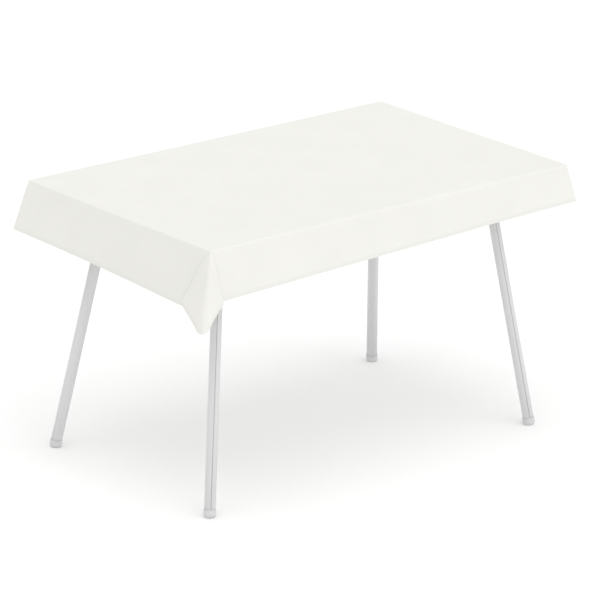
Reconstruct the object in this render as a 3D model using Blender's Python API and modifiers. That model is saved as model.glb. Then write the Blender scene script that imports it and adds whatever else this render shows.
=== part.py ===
"""Tablecloth on a four-legged table.

A laminated board with banded edges stands on four splayed round tubes. Each
tube is held in an angled socket that is welded to a square plate and screwed
to the underside, and ends in a foot cap. One rectangular cloth lies over the
board and hangs down all round.

Metres, +Z up. The origin is on the floor, under the centre of the board. X
runs along the long side, the front long side faces -Y.
"""
import math

import bmesh
import bpy
from mathutils import Matrix, Vector

# ---- driving dimensions ---------------------------------------------------
GAP = 0.0003             # clearance between pieces that touch

TOP_LENGTH = 1.240       # board with its edge bands
TOP_WIDTH = 0.750
TOP_THICK = 0.025
TOP_Z = 0.7482           # upper face of the board
BAND_THICK = 0.002       # edge band
BAND_ROUND = 0.0010

CLOTH_Z = 0.750          # upper face of the cloth
CLOTH_THICK = 0.0015     # stand-in thickness of the cloth's solid
CLOTH_LENGTH = 1.247     # cloth over the table's edges, outside to outside
CLOTH_WIDTH = 0.757
CLOTH_ROUND = 0.003      # where the cloth turns over the edge
CLOTH_CORNER = 0.006     # the same in plan at the corners
FLARE = 0.12             # how far a skirt stands out, per metre of drop

# The cloth lies a little askew. Corner signs -> its overhang past the short
# and the long side there, and the corner's own drop, reach along X and Y, and
# the length of edge that it takes up. The first and third corners hang free,
# the other two are folded against a side.
CORNERS = {
    (-1, -1): ((0.180, 0.135), 0.218, (0.050, 0.034), 0.110),
    (1, -1): ((0.107, 0.103), 0.106, (0.017, 0.017), 0.080),
    (1, 1): ((0.117, 0.119), 0.165, (0.050, 0.034), 0.100),
    (-1, 1): ((0.146, 0.119), 0.140, (0.033, 0.034), 0.080),
}

LEG_FOOT_X = 0.570       # where the legs' axes meet the floor
LEG_FOOT_Y = 0.327
LEG_TILT = math.radians(11.5)   # from the vertical, towards the centre
TUBE_R = 0.0150          # 30 x 1.5 mm round tube
TUBE_WALL = 0.0015
TUBE_START = 0.0218      # lower end, measured along the leg's axis

PLATE_SIDE = 0.090
PLATE_THICK = 0.003
PLATE_ROUND = 0.010
HOLE_SPACING = 0.068
HOLE_R = 0.0027
SOCKET_R = 0.0196
SOCKET_BORE = 0.0154
SOCKET_LENGTH = 0.042

SCREW_HEAD_R = 0.0045
SCREW_HEAD_H = 0.0028
SCREW_SHANK_R = 0.0020
SCREW_DEPTH = 0.016      # how deep it goes into the board
PILOT_R = 0.0024
CLAMP_R = 0.0030         # M6 set screw through the socket's wall
CLAMP_LENGTH = 0.0085
CLAMP_DOWN = 0.030       # below the plate, along the leg

CAP_R = 0.0163           # foot cap
CAP_TOP = 0.0215
CAP_DOME = 0.0110
CAP_STEM_R = 0.0129
CAP_STEM_TOP = 0.0440

UNDERSIDE = TOP_Z - TOP_THICK
PLATE_TOP = UNDERSIDE - GAP
PLATE_BOTTOM = PLATE_TOP - PLATE_THICK

# leg name -> signs of its foot's X and Y
LEGS = {
    "front_left": (-1, -1),
    "front_right": (1, -1),
    "back_right": (1, 1),
    "back_left": (-1, 1),
}

# ---- scene and helpers ----------------------------------------------------
for old in list(bpy.data.objects):
    bpy.data.objects.remove(old, do_unlink=True)

parts = bpy.data.collections.new("tablecloth_on_table")
cutters = bpy.data.collections.new("cutters")
bpy.context.scene.collection.children.link(parts)
bpy.context.scene.collection.children.link(cutters)


def material(name, color, roughness, metallic=0.0):
    mat = bpy.data.materials.new(name)
    mat.use_nodes = True
    bsdf = mat.node_tree.nodes["Principled BSDF"]
    bsdf.inputs["Base Color"].default_value = (*color, 1.0)
    bsdf.inputs["Roughness"].default_value = roughness
    bsdf.inputs["Metallic"].default_value = metallic
    return mat


def add(name, mesh, mat=None, collection=parts):
    ob = bpy.data.objects.new(name, mesh)
    collection.objects.link(ob)
    if mat is not None:
        own = mat.copy()
        own.name = name
        if not mesh.materials:
            mesh.materials.append(own)
        ob.material_slots[0].link = "OBJECT"
        ob.material_slots[0].material = own
    if collection is cutters:
        ob.hide_render = True
        ob.display_type = "WIRE"
    return ob


def mesh_from(bm, name):
    mesh = bpy.data.meshes.new(name)
    bm.to_mesh(mesh)
    bm.free()
    return mesh


def box_mesh(name, low, high):
    bm = bmesh.new()
    bmesh.ops.create_cube(bm, size=1.0)
    size = [h - l for l, h in zip(low, high)]
    mid = [(h + l) / 2 for l, h in zip(low, high)]
    bmesh.ops.scale(bm, vec=size, verts=bm.verts)
    bmesh.ops.translate(bm, vec=mid, verts=bm.verts)
    return mesh_from(bm, name)


def rod_mesh(name, radius, z0, z1, segments):
    bm = bmesh.new()
    bmesh.ops.create_cone(bm, cap_ends=True, segments=segments,
                          radius1=radius, radius2=radius, depth=z1 - z0)
    bmesh.ops.translate(bm, vec=(0, 0, (z0 + z1) / 2), verts=bm.verts)
    return mesh_from(bm, name)


def boolean(ob, cutter, operation="DIFFERENCE"):
    mod = ob.modifiers.new(operation.lower(), "BOOLEAN")
    mod.operation = operation
    mod.solver = "EXACT"
    mod.object = cutter
    return mod


def bevel(ob, width, segments=1):
    mod = ob.modifiers.new("round", "BEVEL")
    mod.width = width
    mod.segments = segments
    mod.limit_method = "ANGLE"
    return mod


def turned(name, profile, steps):
    """A mesh turned about Z from (radius, height) points, outer side from top
    to bottom."""
    mesh = bpy.data.meshes.new(name)
    mesh.from_pydata([(r, 0.0, z) for r, z in profile],
                     [(i, i + 1) for i in range(len(profile) - 1)], [])
    ob = bpy.data.objects.new(name + "_profile", mesh)
    bpy.context.scene.collection.objects.link(ob)
    mod = ob.modifiers.new("turn", "SCREW")
    mod.axis = "Z"
    mod.steps = mod.render_steps = steps
    mod.use_merge_vertices = True
    mod.merge_threshold = 0.00001
    return bake(ob, name)


def bake(ob, name):
    """The evaluated mesh of an object in its own coordinates; the object and
    its modifiers are removed."""
    bpy.context.view_layer.update()
    depsgraph = bpy.context.evaluated_depsgraph_get()
    mesh = bpy.data.meshes.new_from_object(ob.evaluated_get(depsgraph))
    mesh.name = name
    bpy.data.objects.remove(ob, do_unlink=True)
    return mesh


def smooth(mesh, angle=35):
    mesh.shade_smooth()
    mesh.set_sharp_from_angle(angle=math.radians(angle))


WHITE_FABRIC = material("white_fabric", (0.90, 0.895, 0.865), 0.85)
BOARD = material("board", (0.80, 0.78, 0.73), 0.45)
BAND = material("band", (0.84, 0.83, 0.80), 0.40)
TUBE_METAL = material("tube_metal", (0.78, 0.78, 0.79), 0.30, 1.0)
ZINC = material("zinc", (0.62, 0.63, 0.65), 0.40, 1.0)
SCREW_METAL = material("screw_metal", (0.55, 0.56, 0.58), 0.35, 1.0)
CAP_PLASTIC = material("cap_plastic", (0.56, 0.56, 0.57), 0.50)


def leg_root(name):
    """Empty where a leg's axis meets the floor, turned so that its X points
    to the table's centre line in plan."""
    sx, sy = LEGS[name]
    empty = bpy.data.objects.new("leg_origin_" + name, None)
    empty.empty_display_size = 0.05
    empty.location = (sx * LEG_FOOT_X, sy * LEG_FOOT_Y, 0.0)
    empty.rotation_euler = (0.0, 0.0, math.atan2(-sy, -sx))
    parts.objects.link(empty)
    return empty


def plate_root(name):
    """Empty where a leg's axis meets the underside of its plate."""
    sx, sy = LEGS[name]
    run = PLATE_BOTTOM * math.tan(LEG_TILT) / math.sqrt(2)
    empty = bpy.data.objects.new("plate_origin_" + name, None)
    empty.empty_display_size = 0.05
    empty.location = (sx * (LEG_FOOT_X - run), sy * (LEG_FOOT_Y - run),
                      PLATE_BOTTOM)
    empty.rotation_euler = (0.0, 0.0, math.atan2(-sy, -sx))
    parts.objects.link(empty)
    return empty


def screw_places():
    """Plan position of each screw in a plate's own frame, whose X is the
    diagonal that the leg leans along."""
    half = HOLE_SPACING / math.sqrt(2)
    return [(half, 0.0), (0.0, half), (-half, 0.0), (0.0, -half)]


roots = {name: leg_root(name) for name in LEGS}
plates = {name: plate_root(name) for name in LEGS}
bpy.context.view_layer.update()

# ---- board and edge bands -------------------------------------------------
core_x = TOP_LENGTH / 2 - BAND_THICK - GAP
core_y = TOP_WIDTH / 2 - BAND_THICK - GAP
board = add("tabletop_board",
            box_mesh("tabletop_board", (-core_x, -core_y, UNDERSIDE),
                     (core_x, core_y, TOP_Z)), BOARD)

# blind pilot holes for the plates' screws, all in one cutter
bm = bmesh.new()
for name in LEGS:
    for x, y in screw_places():
        at = plates[name].matrix_world @ Vector((x, y, 0.0))
        depth = SCREW_DEPTH + 2 * GAP
        bmesh.ops.create_cone(
            bm, cap_ends=True, segments=10, radius1=PILOT_R, radius2=PILOT_R,
            depth=depth + 0.004,
            matrix=Matrix.Translation((at.x, at.y,
                                       UNDERSIDE + (depth - 0.004) / 2)))
pilots = add("pilot_holes_cutter", mesh_from(bm, "pilot_holes"),
             collection=cutters)
boolean(board, pilots)

side_x = TOP_LENGTH / 2
side_y = TOP_WIDTH / 2
short_y = side_y - BAND_THICK - GAP
for name, low, high in (
        ("edge_band_front", (-side_x, -side_y), (side_x, -side_y + BAND_THICK)),
        ("edge_band_back", (-side_x, side_y - BAND_THICK), (side_x, side_y)),
        ("edge_band_left", (-side_x, -short_y), (-side_x + BAND_THICK, short_y)),
        ("edge_band_right", (side_x - BAND_THICK, -short_y), (side_x, short_y))):
    band = add(name, box_mesh(name, (*low, UNDERSIDE), (*high, TOP_Z)), BAND)
    bevel(band, BAND_ROUND * 0.9)

# ---- leg mounts: square plate with a welded angled socket -----------------
bm = bmesh.new()
bmesh.ops.create_cube(bm, size=1.0)
bmesh.ops.scale(bm, vec=(PLATE_SIDE, PLATE_SIDE, PLATE_THICK), verts=bm.verts)
upright = [e for e in bm.edges
           if abs(e.verts[0].co.z - e.verts[1].co.z) > PLATE_THICK / 2]
bmesh.ops.bevel(bm, geom=upright, offset=PLATE_ROUND, segments=4, profile=0.5,
                affect="EDGES")
bmesh.ops.translate(bm, vec=(0, 0, PLATE_THICK / 2), verts=bm.verts)
bmesh.ops.rotate(bm, cent=(0, 0, 0), verts=bm.verts,
                 matrix=Matrix.Rotation(math.radians(45), 3, "Z"))
mount = add("mount_blank", mesh_from(bm, "mount_blank"), ZINC)

# socket ring along the leg's axis, cut off level inside the plate
ring_mesh = turned("socket_ring", [
    (SOCKET_BORE, 0.012), (SOCKET_R, 0.012),
    (SOCKET_R, -SOCKET_LENGTH + 0.001), (SOCKET_R - 0.001, -SOCKET_LENGTH),
    (SOCKET_BORE, -SOCKET_LENGTH), (SOCKET_BORE, 0.012)], 36)
ring = add("socket_ring", ring_mesh, collection=cutters)
ring.rotation_euler = (0.0, LEG_TILT, 0.0)
level = add("socket_level_cutter",
            box_mesh("socket_level", (-0.05, -0.05, PLATE_THICK * 0.5),
                     (0.05, 0.05, 0.05)), collection=cutters)
boolean(ring, level)
boolean(mount, ring, "UNION")

bm = bmesh.new()
for x, y in screw_places():
    bmesh.ops.create_cone(bm, cap_ends=True, segments=12, radius1=HOLE_R,
                          radius2=HOLE_R, depth=0.02,
                          matrix=Matrix.Translation((x, y, 0.0)))
# hole for the clamp screw, on the socket's inner side
clamp_axis = (Matrix.Rotation(LEG_TILT, 4, "Y")
              @ Matrix.Translation((0.0175, 0.0, -CLAMP_DOWN))
              @ Matrix.Rotation(math.radians(90), 4, "Y"))
bmesh.ops.create_cone(bm, cap_ends=True, segments=14,
                      radius1=CLAMP_R + 1.5 * GAP, radius2=CLAMP_R + 1.5 * GAP,
                      depth=0.008, matrix=clamp_axis)
holes = add("mount_holes_cutter", mesh_from(bm, "mount_holes"),
            collection=cutters)
boolean(mount, holes)
mount_mesh = bake(mount, "leg_mount")
smooth(mount_mesh)
for name in LEGS:
    ob = add("leg_mount_" + name, mount_mesh, ZINC)
    ob.parent = plates[name]

# ---- screws that hold the plates to the board -----------------------------
head = SCREW_HEAD_R
top = PLATE_THICK + GAP + SCREW_DEPTH
screw_mesh = turned("mount_screw", [
    (0.0, top), (SCREW_SHANK_R * 0.45, top - 0.001),
    (SCREW_SHANK_R, top - 0.004), (SCREW_SHANK_R, -GAP), (head, -GAP),
    (head, -GAP - SCREW_HEAD_H * 0.45),
    (head * 0.72, -GAP - SCREW_HEAD_H * 0.88), (0.0, -GAP - SCREW_HEAD_H)], 12)
blank = add("screw_blank", screw_mesh, SCREW_METAL)
for k, size in enumerate(((0.0045, 0.0010), (0.0010, 0.0045))):
    slot = add("recess_cutter_%d" % k,
               box_mesh("recess_%d" % k,
                        (-size[0] / 2, -size[1] / 2, -GAP - SCREW_HEAD_H - 0.001),
                        (size[0] / 2, size[1] / 2, -GAP - SCREW_HEAD_H * 0.45)),
               collection=cutters)
    boolean(blank, slot)
screw_mesh = bake(blank, "mount_screw")
smooth(screw_mesh)
for name in LEGS:
    for k, (x, y) in enumerate(screw_places()):
        ob = add("mount_screw_%s_%d" % (name, k + 1), screw_mesh, SCREW_METAL)
        ob.parent = plates[name]
        ob.location = (x, y, 0.0)

# ---- clamp screws: one through each socket's inner side -------------------
clamp_mesh = turned("clamp_screw", [
    (0.0, CLAMP_LENGTH), (CLAMP_R - 0.0006, CLAMP_LENGTH),
    (CLAMP_R, CLAMP_LENGTH - 0.0006), (CLAMP_R, 0.0006),
    (CLAMP_R - 0.0010, 0.0), (0.0, 0.0)], 12)
blank = add("clamp_blank", clamp_mesh, SCREW_METAL)
hexagon = add("hex_recess_cutter",
              rod_mesh("hex_recess", 0.0017, CLAMP_LENGTH - 0.0035,
                       CLAMP_LENGTH + 0.002, 6), collection=cutters)
boolean(blank, hexagon)
clamp_mesh = bake(blank, "clamp_screw")
smooth(clamp_mesh)
for name in LEGS:
    ob = add("clamp_screw_" + name, clamp_mesh, SCREW_METAL)
    ob.parent = plates[name]
    ob.matrix_local = (Matrix.Rotation(LEG_TILT, 4, "Y")
                       @ Matrix.Translation((TUBE_R + 1.5 * GAP, 0.0,
                                             -CLAMP_DOWN))
                       @ Matrix.Rotation(math.radians(90), 4, "Y"))

# ---- leg tubes ------------------------------------------------------------
tube_end = ((PLATE_BOTTOM - 0.001 - TUBE_R * math.sin(LEG_TILT))
            / math.cos(LEG_TILT))
inner = TUBE_R - TUBE_WALL
tube_mesh = turned("leg_tube", [
    (inner, tube_end), (TUBE_R, tube_end), (TUBE_R, TUBE_START),
    (inner, TUBE_START), (inner, tube_end)], 24)
smooth(tube_mesh)
for name in LEGS:
    ob = add("leg_tube_" + name, tube_mesh, TUBE_METAL)
    ob.parent = roots[name]
    ob.rotation_euler = (0.0, LEG_TILT, 0.0)

# ---- foot caps: a stem inside the tube and a domed sole cut level ---------
profile = [(0.0, CAP_STEM_TOP), (CAP_STEM_R - 0.0015, CAP_STEM_TOP),
           (CAP_STEM_R, CAP_STEM_TOP - 0.003), (CAP_STEM_R, CAP_TOP),
           (CAP_R - 0.0006, CAP_TOP), (CAP_R, CAP_TOP - 0.0009)]
dome_base = 0.0075
for k in range(6):
    a = math.radians(90 * k / 5)
    profile.append((CAP_R * math.cos(a), dome_base - CAP_DOME * math.sin(a)))
profile[-1] = (0.0, dome_base - CAP_DOME)
cap_mesh = turned("foot_cap", profile, 24)
cap = add("cap_blank", cap_mesh, CAP_PLASTIC)
cap.rotation_euler = (0.0, LEG_TILT, 0.0)
floor_cut = add("floor_cutter", box_mesh("floor_cut", (-0.05, -0.05, -0.03),
                                         (0.05, 0.05, 0.0)),
                collection=cutters)
boolean(cap, floor_cut)
cap_mesh = bake(cap, "foot_cap")
smooth(cap_mesh)
for name in LEGS:
    ob = add("foot_cap_" + name, cap_mesh, CAP_PLASTIC)
    ob.parent = roots[name]
    ob.rotation_euler = (0.0, LEG_TILT, 0.0)


# ---- the cloth ------------------------------------------------------------
def bump(distance, span):
    """1 at a corner, falling smoothly to 0 at a distance of span."""
    t = min(max(1.0 - distance / span, 0.0), 1.0)
    return t * t * (3 - 2 * t)


def edge_points():
    """Points round the table's edge, anticlockwise from above. Each gives its
    place, the way out from the edge, the overhang there, and its distance to
    the nearest corner with that corner's signs."""
    hx, hy, r = CLOTH_LENGTH / 2, CLOTH_WIDTH / 2, CLOTH_CORNER
    out = []
    sides = [((-1, -1), (1, -1), (0, -1)), ((1, -1), (1, 1), (1, 0)),
             ((1, 1), (-1, 1), (0, 1)), ((-1, 1), (-1, -1), (-1, 0))]
    for start, end, way in sides:
        which = 0 if way[0] else 1
        from_, to = CORNERS[start][0][which], CORNERS[end][0][which]
        a = Vector((start[0] * hx, start[1] * hy))
        b = Vector((end[0] * hx, end[1] * hy))
        along = (b - a).normalized()
        length = (b - a).length
        stops = [r, 0.03, 0.055, 0.08, 0.11]
        stops += [0.11 + (length - 0.22) * k / 5 for k in range(1, 5)]
        stops += [length - s for s in reversed([r, 0.03, 0.055, 0.08, 0.11])]
        for s in stops:
            near = start if s < length / 2 else end
            dist = min(s, length - s)
            drop = from_ + (to - from_) * s / length
            out.append((a + along * s, Vector(way), drop, dist, near))
        # the rounded corner after this side, at its middle
        corner = Vector((end[0] * (hx - r), end[1] * (hy - r)))
        diag = Vector(end).normalized()
        out.append((corner + diag * r, diag, sum(CORNERS[end][0]) / 2, 0.0,
                    end))
    return out


rows = []
R = CLOTH_ROUND
for k in range(4):
    a = math.radians(30 * k)
    rows.append((R * math.sin(a) - R, R - R * math.cos(a), 0.0))
for k in range(1, 5):
    rows.append((0.0, R, k / 4))

bm = bmesh.new()
points = edge_points()
grid = []
for out, down, t in rows:
    line = []
    for at, way, drop, dist, near in points:
        _, lowest, reach, span = CORNERS[near]
        w = bump(dist - CLOTH_CORNER, span)
        deep = lowest * w + drop * (1 - w)
        p = (at + way * (out + FLARE * drop * (1 - w) * t)
             + Vector((near[0] * reach[0], near[1] * reach[1])) * (w * t))
        line.append(bm.verts.new((p.x, p.y,
                                  CLOTH_Z - down - (deep - R) * t)))
    grid.append(line)
count = len(points)
for upper, lower in zip(grid, grid[1:]):
    for i in range(count):
        j = (i + 1) % count
        bm.faces.new((upper[i], lower[i], lower[j], upper[j]))
bm.faces.new(grid[0])
bmesh.ops.recalc_face_normals(bm, faces=bm.faces)
if sum(f.normal.z * f.calc_area() for f in bm.faces) < 0:
    bmesh.ops.reverse_faces(bm, faces=bm.faces)
cloth = add("tablecloth", mesh_from(bm, "tablecloth"), WHITE_FABRIC)
solid = cloth.modifiers.new("thickness", "SOLIDIFY")
solid.thickness = CLOTH_THICK
solid.offset = -1.0
solid.use_even_offset = True
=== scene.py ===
"""Looks for the tablecloth on its table: the cloth as one draped sheet with
turned hems, finer leg tubes and foot caps, materials, studio and camera.

Metres, +Z up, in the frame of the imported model."""
import math

import bmesh
import bpy
import numpy as np
from mathutils import Matrix, Vector


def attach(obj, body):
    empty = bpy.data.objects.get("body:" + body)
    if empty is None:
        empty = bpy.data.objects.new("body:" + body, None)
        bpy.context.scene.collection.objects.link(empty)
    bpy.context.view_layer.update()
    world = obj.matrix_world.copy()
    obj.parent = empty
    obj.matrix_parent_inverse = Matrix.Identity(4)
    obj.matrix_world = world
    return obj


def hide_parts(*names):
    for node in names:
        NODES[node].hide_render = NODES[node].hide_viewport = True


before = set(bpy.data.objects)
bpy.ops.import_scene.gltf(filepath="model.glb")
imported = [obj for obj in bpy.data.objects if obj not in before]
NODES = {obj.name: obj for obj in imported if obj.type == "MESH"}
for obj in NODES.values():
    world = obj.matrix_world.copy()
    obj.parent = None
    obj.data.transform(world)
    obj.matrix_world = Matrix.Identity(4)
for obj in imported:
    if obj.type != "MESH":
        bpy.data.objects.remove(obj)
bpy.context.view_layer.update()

scene = bpy.context.scene
LEGS = {"front_left": (-1, -1), "front_right": (1, -1),
        "back_right": (1, 1), "back_left": (-1, 1)}

# ---------------------------------------------------------------------------
# camera: far away with a long lens, so that upright lines stay nearly parallel
# ---------------------------------------------------------------------------
YAW, PITCH, ROLL = (math.radians(a) for a in (41.06, 18.83, 1.28))
fwd = Vector((math.sin(YAW) * math.cos(PITCH), math.cos(YAW) * math.cos(PITCH),
              -math.sin(PITCH)))
right = Vector((math.cos(YAW), -math.sin(YAW), 0.0))
up = right.cross(fwd)
r2 = math.cos(ROLL) * right + math.sin(ROLL) * up
u2 = -math.sin(ROLL) * right + math.cos(ROLL) * up
cam_data = bpy.data.cameras.new("camera")
cam_data.lens = 270.0
cam_data.sensor_width = 36.0
cam_data.clip_end = 200.0
cam = bpy.data.objects.new("camera", cam_data)
scene.collection.objects.link(cam)
view = Matrix((r2, u2, -fwd)).transposed().to_4x4()
view.translation = (-7.535, -8.66, 4.303)
cam.matrix_world = view
scene.camera = cam


# ---------------------------------------------------------------------------
# small helpers
# ---------------------------------------------------------------------------
def add(name, mesh, mat=None):
    ob = bpy.data.objects.new(name, mesh)
    scene.collection.objects.link(ob)
    if mat is not None:
        mesh.materials.clear()
        mesh.materials.append(mat)
    return ob


def smooth01(x):
    x = np.clip(x, 0.0, 1.0)
    return x * x * (3 - 2 * x)


class Mat:
    """A Principled material and short ways to add nodes to it."""

    def __init__(self, name, color, roughness, metallic=0.0, **more):
        self.mat = bpy.data.materials.new(name)
        self.mat.use_nodes = True
        self.tree = self.mat.node_tree
        self.bsdf = self.tree.nodes["Principled BSDF"]
        self.set(self.bsdf, Base_Color=(*color, 1.0), Roughness=roughness,
                 Metallic=metallic, **more)

    def set(self, node, **values):
        for key, value in values.items():
            key = key.replace("_", " ")
            node.inputs[key].default_value = value

    def node(self, kind, **props):
        n = self.tree.nodes.new(kind)
        for key, value in props.items():
            setattr(n, key, value)
        return n

    def link(self, a, b):
        self.tree.links.new(a, b)

    def coords(self, kind="Object", scale=(1, 1, 1)):
        tex = self.node("ShaderNodeTexCoord")
        mp = self.node("ShaderNodeMapping")
        mp.inputs["Scale"].default_value = scale
        self.link(tex.outputs[kind], mp.inputs["Vector"])
        return mp.outputs["Vector"]

    def noise(self, vector, scale, detail=3.0, rough=0.5, dims="3D"):
        n = self.node("ShaderNodeTexNoise", noise_dimensions=dims)
        n.inputs["Scale"].default_value = scale
        n.inputs["Detail"].default_value = detail
        n.inputs["Roughness"].default_value = rough
        self.link(vector, n.inputs["Vector"])
        return n.outputs["Fac"]

    def span(self, value, low, high, to_low, to_high):
        n = self.node("ShaderNodeMapRange")
        n.inputs["From Min"].default_value = low
        n.inputs["From Max"].default_value = high
        n.inputs["To Min"].default_value = to_low
        n.inputs["To Max"].default_value = to_high
        self.link(value, n.inputs["Value"])
        return n.outputs["Result"]

    def math(self, op, a, b=None):
        n = self.node("ShaderNodeMath", operation=op)
        for k, v in enumerate((a, b)):
            if v is None:
                continue
            if isinstance(v, (int, float)):
                n.inputs[k].default_value = v
            else:
                self.link(v, n.inputs[k])
        return n.outputs[0]

    def mix(self, fac, a, b):
        n = self.node("ShaderNodeMix", data_type="RGBA")
        self.link(fac, n.inputs["Factor"])
        for socket, v in ((n.inputs[6], a), (n.inputs[7], b)):
            if isinstance(v, tuple):
                socket.default_value = (*v, 1.0)
            else:
                self.link(v, socket)
        return n.outputs[2]

    def bump(self, height, distance, strength=1.0, normal=None):
        n = self.node("ShaderNodeBump")
        n.inputs["Strength"].default_value = strength
        n.inputs["Distance"].default_value = distance
        self.link(height, n.inputs["Height"])
        if normal is not None:
            self.link(normal, n.inputs["Normal"])
        return n.outputs["Normal"]

    def to(self, socket, value):
        self.link(value, self.bsdf.inputs[socket])


# ---------------------------------------------------------------------------
# the cloth: where each point of the flat sheet goes
# ---------------------------------------------------------------------------
HX, HY, TOPZ = 0.620, 0.375, 0.7482    # the board's half sides, upper face
MID = 0.0009                           # cloth's middle above the board
EX, EY = HX + 0.0003, HY + 0.0003      # where it starts to turn down
TURN = 0.0034                          # radius of that turn
FLARE = math.radians(7.0)              # the skirts hang a little outwards
GAPS = 0.0024                          # between the layers of a fold

# overhang at the sheet's corners: (past the short side, past the long side)
OVER = {(-1, -1): (0.177, 0.143), (1, -1): (0.108, 0.104),
        (1, 1): (0.118, 0.120), (-1, 1): (0.138, 0.120)}

# hanging corners: a box pleat whose face holds the sheet's corner. Angles are
# round the table's corner, 0 square to the short side, 90 square to the long.
PLEATS = {
    (-1, -1): dict(tip=(0.218, 0.141, 0.982), v1=-23.5, e1=-18.0, c1=30.3,
                   v2=90.0, e2=79.0, c2=11.5, tt=38.9),
    (1, 1): dict(tip=(0.19, 0.19, 0.96), v1=-15.0, e1=8.0, c1=30.0,
                 v2=98.0, e2=79.0, c2=27.0, tt=45.5)}
# folded corners: the outer skirt, how far its end stands out, fold's angle
WRAPS = {(-1, 1): ("short", 0.235, 8.0), (1, -1): ("long", 0.225, 5.0)}


def hem_x(sx, y):
    """x of the hem past a short side, at y."""
    a, b = OVER[sx, -1], OVER[sx, 1]
    t = (y + EY + a[1]) / (2 * EY + a[1] + b[1])
    return a[0] + (b[0] - a[0]) * t


def hem_y(sy, x):
    a, b = OVER[-1, sy], OVER[1, sy]
    t = (x + EX + a[0]) / (2 * EX + a[0] + b[0])
    return a[1] + (b[1] - a[1]) * t


def unit(v):
    v = np.asarray(v, float)
    return v / np.linalg.norm(v, axis=-1, keepdims=True)


def turn_down(q):
    """Out and down of a skirt at distance q past the edge."""
    a = math.pi / 2 - FLARE
    s = np.clip(q / TURN, 0, a)
    rest = np.clip(q - a * TURN, 0, None)
    return (TURN * np.sin(s) + rest * math.sin(FLARE),
            TURN * (1 - np.cos(s)) + rest * math.cos(FLARE))


OUT0, DOWN0 = (float(turn_down(np.array(0.1))[k]
                     - 0.1 * (math.sin, math.cos)[k](FLARE)) for k in (0, 1))


def facet(th, a, da, b, db):
    """The flat face between flat angles a and b, whose sides go along da and
    db. Its hem stays straight; the weave shears a little."""
    w = math.radians(b - a)
    s, t = np.sin(np.radians(b - th)), np.sin(np.radians(th - a))
    return (s[:, None] * da + t[:, None] * db) / math.sin(w)


def on_short(ps, flare=FLARE):
    """Direction in a short side's skirt, ps degrees from straight down."""
    ps = np.radians(ps)
    return np.stack([np.sin(flare) * np.cos(ps), -np.sin(ps),
                     np.cos(flare) * np.cos(ps)], -1)


def on_long(ps, flare=FLARE):
    return on_short(ps, flare)[..., [1, 0, 2]]


def pleat(th, tip, v1, e1, c1, v2, e2, c2, tt):
    D = np.zeros(th.shape + (3,))
    lay = np.zeros(th.shape)
    d1, d2, mid = on_short(np.array(c1)), on_long(np.array(c2)), np.array(tip)
    m = th <= v1
    D[m] = on_short(-th[m])
    m = (th > v1) & (th <= e1)
    D[m] = on_short(-v1 + (th[m] - v1) * (c1 + v1) / (e1 - v1))
    lay[m] = 1
    m = (th > e1) & (th <= tt)
    D[m] = facet(th[m], e1, d1, tt, mid)
    lay[m] = 2
    m = (th > tt) & (th <= e2)
    D[m] = facet(th[m], tt, mid, e2, d2)
    lay[m] = 2
    m = (th > e2) & (th <= v2)
    D[m] = on_long(c2 + (th[m] - e2) * ((v2 - 90) - c2) / (v2 - e2))
    lay[m] = 1
    m = th > v2
    D[m] = on_long(th[m] - 90)
    ws = np.clip(0.5 + (tt - th) / 80, 0, 1)
    return D, lay, ws


def wrap(th, outer, lean, beta):
    """The outer skirt goes past the corner, turns round it, folds back and
    folds again, and goes on as the other skirt."""
    t = th if outer == "short" else 90 - th
    fl = math.atan(lean)
    t0 = math.degrees(math.atan(math.sin(fl)))
    am = 45 - t0 - beta
    e1 = 2 * t0 + am
    e2 = e1 + am + beta
    al = np.where(t < e1, t - 2 * t0, np.where(t < e2, am - (t - e1),
                                               -beta + (t - e2)))
    own_fl = FLARE + (fl - FLARE) * smooth01((t + 75) / (75 + t0))
    oth_fl = fl - (fl - FLARE) * smooth01((al - 15) / 60) * (t > e2)
    own = on_short(-t, own_fl)
    oth = on_long(al, oth_fl)
    D = np.where((t < t0)[..., None], own, oth)
    lay = np.where(t < t0, 0.0, np.where(t < e1, 2.0, np.where(t < e2, 1.0, 0.0)))
    lay = lay * smooth01((t - t0) / 10)
    ws = 1 - smooth01((t - t0 + 6) / 12)
    if outer == "long":
        D, ws = D[..., [1, 0, 2]], 1 - ws
    return D, lay, ws, (t, t0, e1, e2)


def rolled(th, D, tt, step):
    """The middle of a hanging corner is a soft roll and not a crease: the
    directions near it are evened out, and its tip stays as low as it was."""
    half = int(round(CREST * 2.5 / step))
    x = np.arange(-half, half + 1) * step
    kernel = np.exp(-0.5 * (x / CREST) ** 2)
    kernel /= kernel.sum()
    pad = np.concatenate([D[:1].repeat(half, 0), D, D[-1:].repeat(half, 0)])
    wide = np.stack([np.convolve(pad[:, c], kernel, "valid") for c in range(3)], -1)
    at = int(np.argmin(np.abs(th - tt)))
    wide = wide + (D[at] - wide[at]) * np.exp(-0.5 * ((th - tt) / 24) ** 2)[:, None]
    near = np.exp(-0.5 * ((th - tt) / 15) ** 2)[:, None]
    return D * (1 - near) + wide * near


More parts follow.
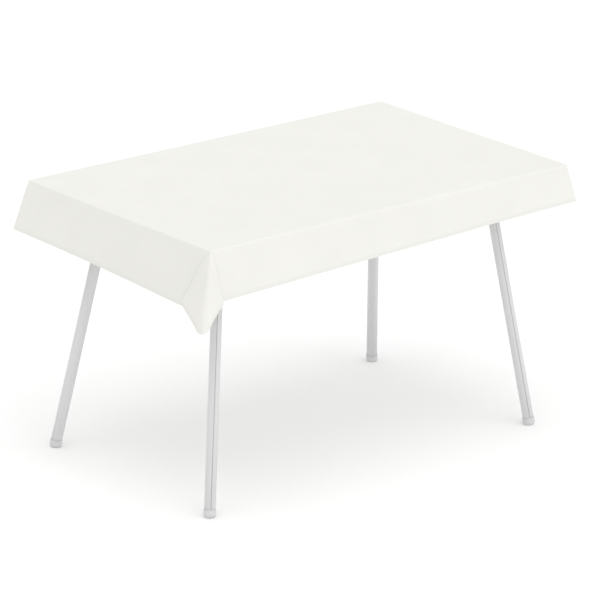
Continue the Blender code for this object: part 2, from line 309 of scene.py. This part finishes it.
def softened(k):
    """Directions round one corner as a table over the angle, with the creases
    rounded over a few degrees, as cloth does."""
    step = 0.25
    th = np.arange(-120.0, 210.0 + step / 2, step)
    if k in PLEATS:
        D, lay, ws = pleat(th, **PLEATS[k])
    else:
        D, lay, ws, _ = wrap(th, *WRAPS[k])
    half = int(round(CREASE[k] * 2.5 / step))
    x = np.arange(-half, half + 1) * step
    kernel = np.exp(-0.5 * (x / CREASE[k]) ** 2)
    kernel /= kernel.sum()
    all_ = np.concatenate([D, lay[:, None], ws[:, None]], -1)
    pad = np.concatenate([all_[:1].repeat(half, 0), all_, all_[-1:].repeat(half, 0)])
    all_ = np.stack([np.convolve(pad[:, c], kernel, "valid")
                     for c in range(all_.shape[1])], -1)
    if k in PLEATS:
        all_[:, :3] = rolled(th, all_[:, :3], PLEATS[k]["tt"], step)
    return th, all_


CREST = 9.0
CREASE = {(-1, -1): 3.6, (1, 1): 3.6, (-1, 1): 3.6, (1, -1): 3.6}
TABLES = {k: softened(k) for k in OVER}


def lie(U, V):
    """Places of flat points (U, V) before the cloth settles."""
    z0 = TOPZ + MID
    sx, sy = np.where(U < 0, -1.0, 1.0), np.where(V < 0, -1.0, 1.0)
    du, dv = np.abs(U) - EX, np.abs(V) - EY
    P = np.stack([U, V, np.full_like(U, z0)], -1)
    xu, zu = turn_down(np.clip(du, 0, None))
    xv, zv = turn_down(np.clip(dv, 0, None))
    short = np.stack([sx * (EX + xu), V, z0 - zu], -1)
    long_ = np.stack([U, sy * (EY + xv), z0 - zv], -1)
    m = (du > 0) & (dv <= 0)
    P[m] = short[m]
    m = (dv > 0) & (du <= 0)
    P[m] = long_[m]
    rho = np.hypot(du, dv)
    th = np.degrees(np.arctan2(dv, du))
    info = []
    for k in OVER:
        near = (sx == k[0]) & (sy == k[1]) & ((du > 0) | (dv > 0)) \
            & (rho < 0.45) & (th > -89.5) & (th < 179.5)
        extra = None if k in PLEATS else wrap(th, *WRAPS[k])[3]
        at, table = TABLES[k]
        D, lay, ws = (np.stack([np.interp(th, at, table[:, c]) for c in range(3)], -1),
                      np.interp(th, at, table[:, 3]), np.interp(th, at, table[:, 4]))
        lift = GAPS * lay * np.clip(rho / 0.05, 0, 1)
        Q = D * rho[..., None]
        tight = np.clip(rho / 0.02, 0, 1)
        Q[..., 0] += (OUT0 + lift) * ws
        Q[..., 1] += (OUT0 + lift) * (1 - ws)
        Q[..., 2] += DOWN0 * tight
        X = np.stack([k[0] * (EX + Q[..., 0]), k[1] * (EY + Q[..., 1]),
                      z0 - Q[..., 2]], -1)
        # past these angles the plain skirt takes over
        plain = np.where((th < 0)[..., None], short, long_)
        mix = np.where(th < 0, smooth01((-th - 62) / 20), smooth01((th - 152) / 20))
        mix = np.maximum(mix, smooth01((rho - 0.30) / 0.14))[..., None]
        X = X * (1 - mix) + plain * mix
        P[near] = X[near]
        info.append((k, near, th, rho, extra))
    return P, info


# ---- settling: bending, length and contact on a coarse grid ----------------
def second(P, ax):
    return P[2:] - 2 * P[1:-1] + P[:-2] if ax == 0 \
        else P[:, 2:] - 2 * P[:, 1:-1] + P[:, :-2]


def bend(P, W, k):
    G = np.zeros_like(P)
    s = second(P, 0)
    G[:-2] += s
    G[1:-1] -= 2 * s
    G[2:] += s
    s = second(P, 1)
    G[:, :-2] += s
    G[:, 1:-1] -= 2 * s
    G[:, 2:] += s
    s = 2 * (P[1:, 1:] - P[1:, :-1] - P[:-1, 1:] + P[:-1, :-1])
    G[1:, 1:] += s
    G[1:, :-1] -= s
    G[:-1, 1:] -= s
    G[:-1, :-1] += s
    P -= k * W[..., None] * G


class Net:
    """Keeps the lengths of threads and diagonals."""

    def __init__(self, M, shear):
        du, dv = np.abs(M[..., 0]) - EX, np.abs(M[..., 1]) - EY
        self.W = W = np.ones(M.shape[:2])
        W[(du < -0.012) & (dv < -0.012)] = 0
        soft = 0.03 + 0.97 * smooth01((np.hypot(du, dv) - 0.02) / 0.05)
        self.rows = []
        for a, b, st in self.pairs(M.shape, shear):
            rest = np.linalg.norm(M[b] - M[a], axis=-1)
            self.rows.append((a, b, rest, W[a], W[b],
                              st / (W[a] + W[b] + 1e-9),
                              np.minimum(soft[a], soft[b])))

    @staticmethod
    def pairs(shape, shear):
        n, m = shape[:2]
        A = slice(None)
        for o in (0, 1):
            k = (n - o) // 2
            yield (slice(o, o + 2 * k, 2), A), (slice(o + 1, o + 2 * k, 2), A), 1.0
            k = (m - o) // 2
            yield (A, slice(o, o + 2 * k, 2)), (A, slice(o + 1, o + 2 * k, 2)), 1.0
        for o in (0, 1):
            k = (n - o) // 2
            yield ((slice(o, o + 2 * k, 2), slice(0, m - 1)),
                   (slice(o + 1, o + 2 * k, 2), slice(1, m)), shear)
            yield ((slice(o, o + 2 * k, 2), slice(1, m)),
                   (slice(o + 1, o + 2 * k, 2), slice(0, m - 1)), shear)

    def sweep(self, P):
        for a, b, rest, wa, wb, st, cs in self.rows:
            D = P[b] - P[a]
            L = np.sqrt((D * D).sum(-1))
            e = (L - rest) / (L + 1e-12)
            e = np.where(e < 0, e * cs, e)
            c = (st * e)[..., None] * D
            P[a] += wa[..., None] * c
            P[b] -= wb[..., None] * c


def contact(P, Q, W):
    r = 0.002
    d = P - np.array([0, 0, TOPZ - 0.0125])
    q = np.abs(d) - (np.array([HX, HY, 0.0125]) - r)
    qm = np.maximum(q, 0)
    n = np.sqrt((qm * qm).sum(-1))
    dist = np.where(n > 0, n, q.max(-1)) - r
    hit = (dist < MID) & (W > 0)
    if not hit.any():
        return
    dh, qh, nh = d[hit], qm[hit], n[hit]
    sg = np.where(dh < 0, -1.0, 1.0)
    o = nh > 1e-9
    g = np.where(o[:, None], qh / np.maximum(nh, 1e-9)[:, None], 0.0)
    if (~o).any():
        k = np.argmax(q[hit][~o], -1)
        gg = np.zeros((k.size, 3))
        gg[np.arange(k.size), k] = 1
        g[~o] = gg
    P[hit] += (sg * g) * (MID - dist[hit])[:, None]
    Q[hit] += 0.6 * (P[hit] - Q[hit])


class Order:
    """Keeps the layers of each fold in their order."""

    def __init__(self, info):
        self.rows = []
        for k, near, th, rho, extra in info:
            far = near & (rho > 0.012)
            if extra:
                t, t0, e1, e2 = extra
                outer, lean, _ = WRAPS[k]
                self.rows.append((k, "l" if outer == "short" else "s",
                                  far & (t > e2 + 5) & (t < 165),
                                  far & (t > e1 + 5) & (t < e2 - 5),
                                  far & (t > t0 + 4) & (t < e1 - 5), lean))
            else:
                p = PLEATS[k]
                f = math.tan(FLARE)
                self.rows.append((k, "s", far & (th < p["v1"] - 3) & (th > -75),
                                  far & (th > p["v1"] + 3) & (th < p["e1"] - 3),
                                  far & (th > p["e1"] + 3) & (th < p["e1"] + 14), f))
                self.rows.append((k, "l", far & (th > p["v2"] + 3) & (th < 165),
                                  far & (th < p["v2"] - 3) & (th > p["e2"] + 3),
                                  far & (th < p["e2"] - 3) & (th > p["e2"] - 14), f))

    def __call__(self, P, Q):
        for k, side, i, m, o, lean in self.rows:
            ax, sg, h = (0, k[0], EX) if side == "s" else (1, k[1], EY)
            depth = np.clip(TOPZ - P[..., 2], 0, None)
            base = h + 0.003 + lean * depth
            tap = np.clip(depth / 0.04, 0.15, 1) * GAPS * 0.9
            y = P[..., ax] * sg
            z = np.where(i, np.minimum(y, base), y)
            z = np.where(m, np.clip(z, base + tap, base + 2 * tap), z)
            z = np.where(o, np.maximum(z, base + 3 * tap), z)
            ch = z != y
            P[..., ax] = z * sg
            Q[ch] += 0.5 * (P[ch] - Q[ch])


def settle(P, M, info, steps, cling, stiff=0.03, length=0.02, damp=0.9):
    """Lets the laid cloth give a little under its weight. cling is how much
    it keeps of its folded shape, from creasing, at each point."""
    P0 = P.copy()
    net, order = Net(M, 0.3), Order(info)
    W = net.W
    h = float(np.linalg.norm(M[1, 0] - M[0, 0]))
    weight = stiff * h ** 4 / length ** 3
    Q = P.copy()
    for i in range(steps):
        slow = damp if i < steps * 0.7 else 0.6
        move = (P - Q) * slow
        Q = P.copy()
        P = P + move * W[..., None]
        P[..., 2] -= weight * W
        bend(P, W, stiff)
        for _ in range(5):
            net.sweep(P)
        P += cling[..., None] * (P0 - P)
        order(P, Q)
        contact(P, Q, W)
    return P


# ---- lines of the sheet's grid ----------------------------------------------
def flat_points(left, midx, rightx, front, midy, backy):
    """Flat (U, V) of the grid whose lines are given from -X to +X and -Y to
    +Y: strips as (a, b) pairs from the edge outwards, middles as places."""
    xs = [(-1, a, b) for a, b in reversed(left)] + [(0, x, 0) for x in midx] \
        + [(1, a, b) for a, b in rightx]
    ys = [(-1, a, b) for a, b in reversed(front)] + [(0, y, 0) for y in midy] \
        + [(1, a, b) for a, b in backy]
    X = np.zeros((len(xs), len(ys)))
    Y = np.zeros((len(xs), len(ys)))
    for _ in range(12):
        for i, (s, a, b) in enumerate(xs):
            X[i] = a if s == 0 else s * (EX + a + b * hem_x(s, Y[i]))
        for j, (s, a, b) in enumerate(ys):
            Y[:, j] = a if s == 0 else s * (EY + a + b * hem_y(s, X[:, j]))
    return np.stack([X, Y], -1)


NL, NR, NF, NB, NX, NY = 21, 14, 15, 15, 154, 93


def coarse_grid():
    lines = lambda n: [(0.0, k / n) for k in range(1, n + 1)]
    return flat_points(lines(NL), list(np.linspace(-EX, EX, NX + 1)), lines(NR),
                       lines(NF), list(np.linspace(-EY, EY, NY + 1)), lines(NB))


def coarse_index(U, V):
    """Where a flat point lies in the coarse grid, as fractions of a line."""
    def one(x, e, n_low, n_mid, n_high, low, high):
        return np.where(x < -e, n_low - (-x - e) / low * n_low,
                        np.where(x > e, n_low + n_mid + (x - e) / high * n_high,
                                 n_low + (x + e) / (2 * e) * n_mid))
    return (one(U, EX, NL, NX, NR, hem_x(-1, V), hem_x(1, V)),
            one(V, EY, NF, NY, NB, hem_y(-1, U), hem_y(1, U)))


def sample(G, fi, fj):
    """Catmull-Rom reading of the grid G at fractional lines fi, fj."""
    n, m = G.shape[:2]
    pad = np.zeros((n + 2, m + 2, G.shape[2]))
    pad[1:-1, 1:-1] = G
    pad[0], pad[-1] = 2 * pad[1] - pad[2], 2 * pad[-2] - pad[-3]
    pad[:, 0], pad[:, -1] = 2 * pad[:, 1] - pad[:, 2], 2 * pad[:, -2] - pad[:, -3]

    def weights(f, size):
        k = np.clip(np.floor(f).astype(int), 0, size - 2)
        t = np.clip(f - k, 0, 1)
        w = [-0.5 * t + t ** 2 - 0.5 * t ** 3, 1 - 2.5 * t ** 2 + 1.5 * t ** 3,
             0.5 * t + 2 * t ** 2 - 1.5 * t ** 3, -0.5 * t ** 2 + 0.5 * t ** 3]
        return k, w
    ki, wi = weights(fi, n)
    kj, wj = weights(fj, m)
    out = 0
    for a in range(4):
        for b in range(4):
            out = out + (wi[a] * wj[b])[..., None] * pad[ki + a, kj + b]
    return out


STEPS = 120
CREASED = {(-1, -1): 0.45, (1, 1): 0.30, (-1, 1): 0.35, (1, -1): 0.35}


def clinging(M):
    """How much of its laid shape each point keeps."""
    du, dv = np.abs(M[..., 0]) - EX, np.abs(M[..., 1]) - EY
    rho = np.hypot(np.maximum(du, -0.3), np.maximum(dv, -0.3))
    c = np.full(M.shape[:2], 0.05)
    for k, v in CREASED.items():
        m = (np.sign(M[..., 0]) == k[0]) & (np.sign(M[..., 1]) == k[1])
        c = np.where(m, v + (0.05 - v) * smooth01((rho - 0.16) / 0.16), c)
    return c


M0 = coarse_grid()
P0, INFO = lie(M0[..., 0], M0[..., 1])
SETTLED = settle(P0, M0, INFO, STEPS, clinging(M0)) if STEPS else P0


def blurred(G, times):
    for _ in range(times):
        p = np.pad(G, ((1, 1), (1, 1), (0, 0)), "edge")
        G = (p[:-2, 1:-1] + p[2:, 1:-1] + p[1:-1, :-2] + p[1:-1, 2:]
             + 4 * p[1:-1, 1:-1]) / 8
    return G


GIVE = blurred(SETTLED - P0, 4)


def cloth_points(U, V):
    """Final places of flat points: the laid shape, moved as the cloth settled."""
    return lie(U, V)[0] + sample(GIVE, *coarse_index(U, V))


# fine lines: close at the turn, at the hem and round the corners
def fine_strip(over, step):
    near = [0.0009, 0.0018, 0.0027, 0.0036, 0.0046, 0.0060, 0.0085]
    hem = [0.0118, 0.0104, 0.0099, 0.0093, 0.0086, 0.0050, 0.0014, 0.0004, 0.0]
    lines = [(q, 0.0) for q in near]
    n = max(3, int(round((over - near[-1] - hem[0]) / step)))
    for k in range(1, n):
        s = k / n
        lines.append((near[-1] * (1 - s) - hem[0] * s, s))
    return lines + [(-d, 1.0) for d in hem]


def fine_middle(e):
    half = [0.0]
    spots = [(0.0, 0.0012), (0.004, 0.003), (0.02, 0.006), (0.25, 0.0065),
             (0.30, 0.013)]
    d = 0.0
    while d < e - 0.012:
        step = next(s for at, s in reversed(spots) if d >= at - 1e-9)
        d += step
        half.append(d)
    half = [x for x in half if x < e - 0.006]
    low = [-e + x for x in half]
    return low + [0.0] + [-x for x in reversed(low)]


M1 = flat_points(fine_strip(0.165, 0.0042), fine_middle(EX),
                 fine_strip(0.113, 0.0042), fine_strip(0.120, 0.0042),
                 fine_middle(EY), fine_strip(0.120, 0.0042))
U, V = M1[..., 0].copy(), M1[..., 1].copy()
# the sheet's corners are rounded a little where hem meets hem
ROUNDS = {(-1, -1): 0.048, (1, -1): 0.024, (1, 1): 0.030, (-1, 1): 0.024}
for (sx, sy) in OVER:
    ROUND = ROUNDS[sx, sy]
    a = EX + hem_x(sx, V) - sx * U       # distance from each hem
    b = EY + hem_y(sy, U) - sy * V
    m = (a < ROUND) & (b < ROUND)
    X, Y = (ROUND - a[m]) / ROUND, (ROUND - b[m]) / ROUND
    U[m] += sx * ROUND * (X * np.sqrt(1 - Y * Y / 2) - X)
    V[m] += sy * ROUND * (Y * np.sqrt(1 - X * X / 2) - Y)
hem_dist = np.minimum(
    np.minimum(EX + hem_x(-1, V) + U, EX + hem_x(1, V) - U),
    np.minimum(EY + hem_y(-1, U) + V, EY + hem_y(1, U) - V))
CLOTH = cloth_points(U, V)


def grid_normals(P):
    a = np.gradient(P, axis=0)
    b = np.gradient(P, axis=1)
    return unit(np.cross(a, b) + 1e-15)


normals = grid_normals(CLOTH)
nx, ny = CLOTH.shape[:2]
print("cloth grid", nx, ny)
HALF = 0.00025
in_hem = smooth01((0.0104 - hem_dist) / 0.0006 + 0.5)
edge = np.sqrt(np.clip(1 - (1 - np.clip(hem_dist / 0.0009, 0, 1)) ** 2, 0.0, 1))
outer = CLOTH + normals * (HALF * (0.25 + 0.75 * edge))[..., None]
inner = CLOTH - normals * ((HALF + 0.0006 * in_hem) * (0.25 + 0.75 * edge))[..., None]


def sheet_mesh(name, outer, inner):
    nx, ny = outer.shape[:2]
    verts = np.concatenate([outer.reshape(-1, 3), inner.reshape(-1, 3)])
    ids = np.arange(nx * ny).reshape(nx, ny)
    a, b, c, d = ids[:-1, :-1], ids[1:, :-1], ids[1:, 1:], ids[:-1, 1:]
    top = np.stack([a, b, c, d], -1).reshape(-1, 4)
    low = np.stack([a, d, c, b], -1).reshape(-1, 4) + nx * ny
    ring = np.concatenate([ids[:-1, 0], ids[-1, :-1], ids[:0:-1, -1], ids[0, :0:-1]])
    nxt = np.roll(ring, -1)
    side = np.stack([ring, ring + nx * ny, nxt + nx * ny, nxt], -1)
    faces = np.concatenate([top, low, side])
    mesh = bpy.data.meshes.new(name)
    mesh.from_pydata(verts.tolist(), [], faces.tolist())
    mesh.shade_smooth()
    return mesh, faces


cloth_mesh, cloth_faces = sheet_mesh("cloth", outer, inner)
uv_all = np.concatenate([np.stack([U, V], -1).reshape(-1, 2)] * 2)
uv = cloth_mesh.uv_layers.new(name="thread")
uv.data.foreach_set("uv", uv_all[cloth_faces.ravel()].astype(np.float32).ravel())
att = cloth_mesh.attributes.new("hem", "FLOAT", "POINT")
att.data.foreach_set("value", np.concatenate([in_hem.ravel()] * 2).astype(np.float32))

cloth_mat = Mat("cloth_fabric", (0.79, 0.785, 0.745), 0.82,
                Sheen_Weight=0.12, Sheen_Roughness=0.45,
                Specular_IOR_Level=0.25)


def cloth_material(m):
    thread = m.coords("UV", (1, 1, 1))
    # plain weave, 0.45 mm between threads
    pitch = 2 * math.pi / 0.00045
    sep = m.node("ShaderNodeSeparateXYZ")
    m.link(thread, sep.inputs[0])
    su = m.math("SINE", m.math("MULTIPLY", sep.outputs["X"], pitch))
    sv = m.math("SINE", m.math("MULTIPLY", sep.outputs["Y"], pitch))
    weave = m.math("MULTIPLY", su, sv)
    slub_u = m.noise(m.coords("UV", (900, 25, 1)), 1.0, 2.0)
    slub_v = m.noise(m.coords("UV", (25, 900, 1)), 1.0, 2.0)
    slub = m.math("ADD", slub_u, slub_v)
    height = m.math("ADD", m.math("MULTIPLY", weave, 0.35),
                    m.math("MULTIPLY", slub, 0.9))
    n = m.bump(height, 0.00006, 0.5)
    m.to("Normal", n)
    cloud = m.noise(m.coords("UV", (7, 7, 1)), 1.0, 4.0, 0.55)
    tone = m.math("ADD", m.math("MULTIPLY", cloud, 0.5),
                  m.math("MULTIPLY", slub, 0.25))
    base = m.mix(m.span(tone, 0.35, 0.65, 0, 1), (0.775, 0.770, 0.730),
                 (0.805, 0.800, 0.760))
    # painted shade: the hem band's colour is darkened, standing in for the grey shade
    # line along the hem's edge
    hem = m.node("ShaderNodeAttribute", attribute_name="hem")
    base = m.mix(m.math("MULTIPLY", hem.outputs["Fac"], 0.5), base, (0.745, 0.74, 0.70))
    m.to("Base Color", base)
    m.to("Roughness", m.span(slub, 0.7, 1.3, 0.76, 0.88))


cloth_material(cloth_mat)
cloth = add("tablecloth_sheet", cloth_mesh, cloth_mat.mat)
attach(cloth, "cloth")
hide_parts("tablecloth")


# ---------------------------------------------------------------------------
# leg tubes and foot caps, turned finer than the CAD's
# ---------------------------------------------------------------------------
FOOT_X, FOOT_Y, TILT = 0.570, 0.327, math.radians(11.5)
TUBE_R, TUBE_WALL, TUBE_START = 0.0150, 0.0015, 0.0218
PLATE_BOTTOM = TOPZ - 0.025 - 0.0003 - 0.003
tube_end = (PLATE_BOTTOM - 0.001 - TUBE_R * math.sin(TILT)) / math.cos(TILT)


def turned(name, profile, n, v_scale=1.0, sharp=35):
    """A closed or open profile of (radius, height) turned about Z, with UVs in
    metres: round the piece and along the profile."""
    mesh = bpy.data.meshes.new(name)
    verts, rows = [], []
    for r, z in profile:
        if r < 1e-7:
            rows.append([len(verts)] * n)
            verts.append((0, 0, z))
        else:
            rows.append(list(range(len(verts), len(verts) + n)))
            verts += [(r * math.cos(2 * math.pi * k / n),
                       r * math.sin(2 * math.pi * k / n), z) for k in range(n)]
    faces, uvs = [], []
    along = [0.0]
    for (r0, z0), (r1, z1) in zip(profile, profile[1:]):
        along.append(along[-1] + math.hypot(r1 - r0, z1 - z0))
    for i in range(len(profile) - 1):
        for k in range(n):
            k2 = (k + 1) % n
            quad = [rows[i][k], rows[i + 1][k], rows[i + 1][k2], rows[i][k2]]
            st = [(k / n, along[i]), (k / n, along[i + 1]),
                  ((k + 1) / n, along[i + 1]), ((k + 1) / n, along[i])]
            keep = [q for q in range(4) if quad[q] not in quad[:q]]
            if len(keep) < 3:
                continue
            faces.append([quad[q] for q in keep])
            uvs += [st[q] for q in keep]
    mesh.from_pydata(verts, [], faces)
    layer = mesh.uv_layers.new(name="round")
    layer.data.foreach_set("uv", np.array(uvs, np.float32).ravel())
    mesh.shade_smooth()
    mesh.set_sharp_from_angle(angle=math.radians(sharp))
    return mesh


def leg_matrix(name):
    sx, sy = LEGS[name]
    return (Matrix.Translation((sx * FOOT_X, sy * FOOT_Y, 0))
            @ Matrix.Rotation(math.atan2(-sy, -sx), 4, "Z")
            @ Matrix.Rotation(TILT, 4, "Y"))


tube_metal = Mat("leg_metal", (0.665, 0.665, 0.67), 0.36, 0.2)


def tube_material(m):
    lines = m.noise(m.coords("UV", (60, 0.6, 1)), 1.0, 4.0, 0.6)
    fine = m.noise(m.coords("UV", (420, 6, 1)), 1.0, 3.0, 0.6)
    spots = m.noise(m.coords("Object", (1, 1, 1)), 180.0, 3.0, 0.6)
    both = m.math("ADD", m.math("MULTIPLY", lines, 0.6), m.math("MULTIPLY", fine, 0.4))
    base = m.mix(m.span(both, 0.35, 0.65, 0, 1), (0.64, 0.64, 0.645),
                 (0.69, 0.69, 0.695))
    # painted reflection: a narrow darker strip along the tube, 2 mm across, standing in
    # for a dark reflected streak
    sep = m.node("ShaderNodeSeparateXYZ")
    m.link(m.coords("UV", (1, 1, 1)), sep.inputs[0])
    away = m.math("ABSOLUTE", m.math("SUBTRACT", sep.outputs["X"], 0.5), 0.0)
    painted_reflection_strip = m.span(away, 0.008, 0.016, 1, 0)
    m.to("Base Color", m.mix(painted_reflection_strip, base, (0.40, 0.40, 0.405)))
    m.to("Roughness", m.span(m.math("ADD", both, m.math("MULTIPLY", spots, 0.4)),
                             0.4, 0.95, 0.32, 0.46))
    m.to("Normal", m.bump(both, 0.00004, 0.6))


tube_material(tube_metal)
inner_r = TUBE_R - TUBE_WALL
c = 0.0003
tube_mesh = turned("leg_tube", [
    (inner_r, tube_end - c), (inner_r + c, tube_end), (TUBE_R - c, tube_end),
    (TUBE_R, tube_end - c), (TUBE_R, TUBE_START + c), (TUBE_R - c, TUBE_START),
    (inner_r + c, TUBE_START), (inner_r, TUBE_START + c), (inner_r, tube_end - c)],
    64, sharp=50)

cap_plastic = Mat("foot_plastic", (0.62, 0.62, 0.625), 0.45)


def plastic_material(m):
    grain = m.noise(m.coords("Object", (1, 1, 1)), 2600.0, 3.0, 0.6)
    cloud = m.noise(m.coords("Object", (1, 1, 1)), 60.0, 3.0, 0.5)
    m.to("Base Color", m.mix(m.span(cloud, 0.3, 0.7, 0, 1), (0.60, 0.60, 0.605),
                             (0.64, 0.64, 0.645)))
    m.to("Roughness", m.span(grain, 0.3, 0.7, 0.40, 0.55))
    m.to("Normal", m.bump(grain, 0.00004, 0.5))


plastic_material(cap_plastic)
CAP_R, CAP_TOP, DOME_BASE, DOME = 0.0163, 0.0215, 0.0075, 0.0110
profile = [(0.0, 0.0440), (0.0114, 0.0440), (0.0129, 0.0410), (0.0129, CAP_TOP),
           (CAP_R - 0.0012, CAP_TOP), (CAP_R - 0.0005, CAP_TOP - 0.0002),
           (CAP_R - 0.0001, CAP_TOP - 0.0007), (CAP_R, CAP_TOP - 0.0012),
           (CAP_R, 0.0185), (CAP_R - 0.0004, 0.0180), (CAP_R - 0.0004, 0.0174),
           (CAP_R, 0.0169)]
for k in range(15):
    a = math.radians(90 * k / 14)
    profile.append((CAP_R * math.cos(a) if k < 14 else 0.0,
                    DOME_BASE - DOME * math.sin(a)))
cap_blank = turned("foot_cap_blank", profile, 64, sharp=40)


def level_cut(mesh, matrix):
    """The cap in place, its sole cut level with the floor."""
    bm = bmesh.new()
    bm.from_mesh(mesh)
    bm.transform(matrix)
    res = bmesh.ops.bisect_plane(
        bm, geom=bm.verts[:] + bm.edges[:] + bm.faces[:], dist=1e-6,
        plane_co=(0, 0, 0.0), plane_no=(0, 0, -1), clear_outer=True)
    rim = [e for e in res["geom_cut"] if isinstance(e, bmesh.types.BMEdge)]
    bmesh.ops.contextual_create(bm, geom=rim)
    bmesh.ops.recalc_face_normals(bm, faces=bm.faces)
    out = bpy.data.meshes.new(mesh.name)
    bm.to_mesh(out)
    bm.free()
    out.shade_smooth()
    out.set_sharp_from_angle(angle=math.radians(40))
    return out


# how far each tube is turned in its socket, which sets where its painted dark
# reflection strip is
TURNED = {"front_left": 15.5, "front_right": -66.6, "back_left": -86.0,
          "back_right": 4.0}
for name in LEGS:
    at = leg_matrix(name)
    tube = add("tube_" + name, tube_mesh.copy(), tube_metal.mat)
    tube.data.transform(at @ Matrix.Rotation(math.radians(TURNED[name]), 4, "Z"))
    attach(tube, "table")
    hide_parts("leg_tube_" + name)
    cap = add("cap_" + name, level_cut(cap_blank, at), cap_plastic.mat)
    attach(cap, "table")
    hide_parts("foot_cap_" + name)

# ---------------------------------------------------------------------------
# better materials on the CAD's own pieces
# ---------------------------------------------------------------------------
def give(prefix, mat):
    for name, ob in NODES.items():
        if name.startswith(prefix):
            for s in ob.material_slots:
                s.material = mat
            if not ob.material_slots:
                ob.data.materials.append(mat)


laminate = Mat("board_laminate", (0.82, 0.81, 0.78), 0.42)
grain = laminate.noise(laminate.coords(), 900.0, 3.0, 0.55)
cloud = laminate.noise(laminate.coords(), 9.0, 4.0, 0.6)
laminate.to("Base Color", laminate.mix(laminate.span(cloud, 0.3, 0.7, 0, 1),
                                       (0.79, 0.78, 0.75), (0.84, 0.83, 0.80)))
laminate.to("Roughness", laminate.span(grain, 0.3, 0.7, 0.34, 0.50))
laminate.to("Normal", laminate.bump(grain, 0.00008, 0.4))
give("tabletop_board", laminate.mat)

band = Mat("band_plastic", (0.83, 0.825, 0.80), 0.38)
grain = band.noise(band.coords("Object", (1, 1, 30)), 60.0, 4.0, 0.6)
band.to("Base Color", band.mix(band.span(grain, 0.3, 0.7, 0, 1),
                               (0.81, 0.805, 0.78), (0.85, 0.845, 0.82)))
band.to("Roughness", band.span(grain, 0.3, 0.7, 0.32, 0.46))
band.to("Normal", band.bump(grain, 0.00005, 0.4))
give("edge_band", band.mat)

zinc = Mat("zinc_plate", (0.60, 0.61, 0.63), 0.38, 1.0)
spangle = zinc.node("ShaderNodeTexVoronoi")
zinc.set(spangle, Scale=260.0)
zinc.link(zinc.coords(), spangle.inputs["Vector"])
cloud = zinc.noise(zinc.coords(), 45.0, 5.0, 0.6)
mixed = zinc.math("ADD", zinc.math("MULTIPLY", spangle.outputs["Distance"], 0.5),
                  zinc.math("MULTIPLY", cloud, 0.7))
zinc.to("Base Color", zinc.mix(zinc.span(mixed, 0.3, 0.8, 0, 1),
                               (0.52, 0.53, 0.55), (0.68, 0.69, 0.71)))
zinc.to("Roughness", zinc.span(mixed, 0.3, 0.8, 0.30, 0.48))
zinc.to("Normal", zinc.bump(mixed, 0.00005, 0.5))
give("leg_mount", zinc.mat)

steel = Mat("screw_steel", (0.55, 0.56, 0.58), 0.33, 1.0)
rub = steel.noise(steel.coords(), 700.0, 4.0, 0.6)
steel.to("Base Color", steel.mix(steel.span(rub, 0.3, 0.7, 0, 1),
                                 (0.48, 0.49, 0.51), (0.64, 0.65, 0.67)))
steel.to("Roughness", steel.span(rub, 0.3, 0.7, 0.26, 0.42))
steel.to("Normal", steel.bump(rub, 0.00003, 0.5))
give("mount_screw", steel.mat)
give("clamp_screw", steel.mat)

# ---------------------------------------------------------------------------
# studio: pale floor, soft light from all round and from the front right
# ---------------------------------------------------------------------------
bm = bmesh.new()
bmesh.ops.create_grid(bm, x_segments=2, y_segments=2, size=60.0)
floor_mesh = bpy.data.meshes.new("floor")
bm.to_mesh(floor_mesh)
bm.free()
floor_mat = Mat("floor_pale", (0.965, 0.965, 0.965), 0.95, Specular_IOR_Level=0.1)
floor_mat.set(floor_mat.bsdf, Emission_Color=(1, 1, 1, 1), Emission_Strength=0.0)
floor = add("floor", floor_mesh, floor_mat.mat)

world = bpy.data.worlds.new("studio")
scene.world = world
world.use_nodes = True
world.node_tree.nodes["Background"].inputs[0].default_value = (1.0, 1.0, 1.0, 1)
world.node_tree.nodes["Background"].inputs[1].default_value = 0.885

for name, power, spread, way in (
        ("soft_key", 0.57, 48, (-0.22, -0.16, 1.1)),
        ("soft_front", 0.47, 70, (0.26, -1.0, 0.62))):
    sun = bpy.data.lights.new(name, "SUN")
    sun.energy = power
    sun.angle = math.radians(spread)
    ob = bpy.data.objects.new(name, sun)
    ob.rotation_euler = Vector(way).to_track_quat("Z", "Y").to_euler()
    scene.collection.objects.link(ob)

scene.view_settings.view_transform = "Standard"
scene.view_settings.look = "None"
scene.view_settings.exposure = 0.0
scene.view_settings.gamma = 1.0
